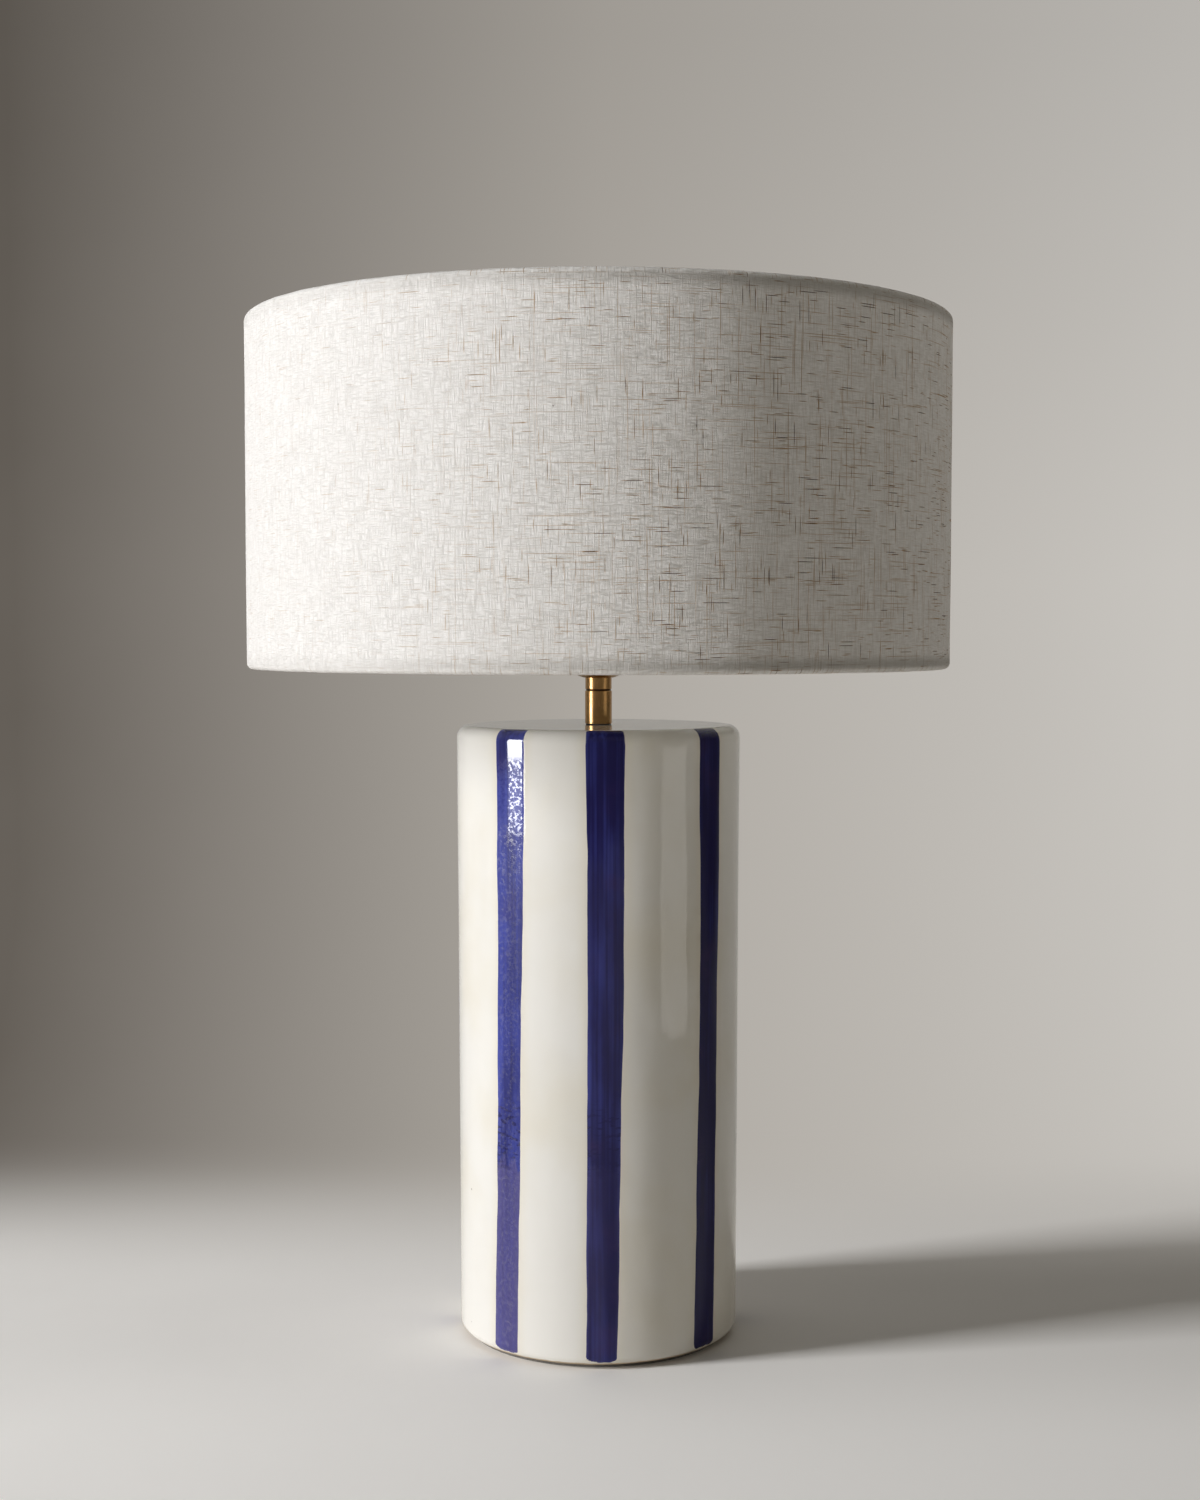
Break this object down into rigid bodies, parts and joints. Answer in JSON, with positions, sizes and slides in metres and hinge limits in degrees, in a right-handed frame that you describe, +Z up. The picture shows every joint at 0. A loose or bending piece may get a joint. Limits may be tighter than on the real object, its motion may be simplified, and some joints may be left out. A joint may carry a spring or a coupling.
{
  "type": "table lamp",
  "caption": "Table lamp with a striped glazed ceramic cylinder base, a slim brass neck, a screw lampholder with bulb and a linen drum shade.",
  "frame": {"origin": "centre of the underside of the felt foot, on the surface the lamp stands on", "axes": "+Z up along the lamp's axis, -Y towards the front, +Y towards the lead's outlet"},
  "size_m": [0.3999, 0.4, 0.5806],
  "materials": {
    "glaze": "glossy off-white glaze with hand-painted cobalt blue stripes",
    "felt": "pressed wool felt",
    "black_plastic": "moulded",
    "steel": "zinc plated",
    "rubber": "moulded",
    "brass": "brushed antique brass",
    "dark_brass": "darkened brass",
    "porcelain": "unglazed white",
    "shell_brass": "pressed, bright",
    "vitrite": "black glass",
    "bulb_metal": "pressed",
    "opal_glass": "opal white",
    "linen": "natural slubby linen",
    "liner": "white translucent sheet",
    "white_wire": "white powder coat"
  },
  "bodies": {
    "base": {"ceramic_body": "glaze", "felt_foot_ring": "felt", "cord_grommet": "black_plastic", "neck_nipple": "steel", "inner_cushion_washer": "rubber", "inner_clamp_washer": "steel", "lock_washer": "steel", "nipple_nut": "steel", "neck_gasket": "rubber", "neck_sleeve": "brass", "neck_spacer_ring": "dark_brass", "holder_cap": "brass", "cap_grub_screw": "steel", "contact_block": "porcelain", "screw_shell": "shell_brass", "centre_contact": "shell_brass", "terminal_screws": "steel", "holder_skirt": "brass"},
    "shade": {"shade_linen": "linen", "shade_liner": "liner", "shade_top_ring": "white_wire", "shade_bottom_ring": "white_wire", "shade_fitter_ring": "white_wire", "shade_arm_1": "white_wire", "shade_arm_2": "white_wire", "shade_arm_3": "white_wire"},
    "shade_rings": {"shade_support_ring": "brass", "shade_clamp_ring": "brass"},
    "bulb_tip": {"bulb_contact": "steel"},
    "bulb": {"bulb_insulator": "vitrite", "bulb_cap": "bulb_metal", "bulb_glass": "opal_glass"}
  },
  "joints": [
    {"name": "shade_rise", "type": "slide", "parent": "base", "child": "shade", "axis": [0, 0, 1], "range_m": [0, 0.02]},
    {"name": "shade_ring_turn", "type": "hinge", "parent": "shade", "child": "shade_rings", "pos_m": [0, 0, 0.4111], "axis": [0, 0, 1], "range_deg": [0, 2880]},
    {"name": "bulb_rise", "type": "slide", "parent": "base", "child": "bulb_tip", "axis": [0, 0, 1], "range_m": [0, 0.0254]},
    {"name": "bulb_turn", "type": "hinge", "parent": "bulb_tip", "child": "bulb", "pos_m": [0, 0, 0.405], "axis": [0, 0, 1], "range_deg": [0, 2520]}
  ],
  "couplings": [
    {"joint": "shade_ring_turn", "follows": "shade_rise", "rad_per_m": 2513.3},
    {"joint": "bulb_turn", "follows": "bulb_rise", "rad_per_m": 1731.6}
  ]
}
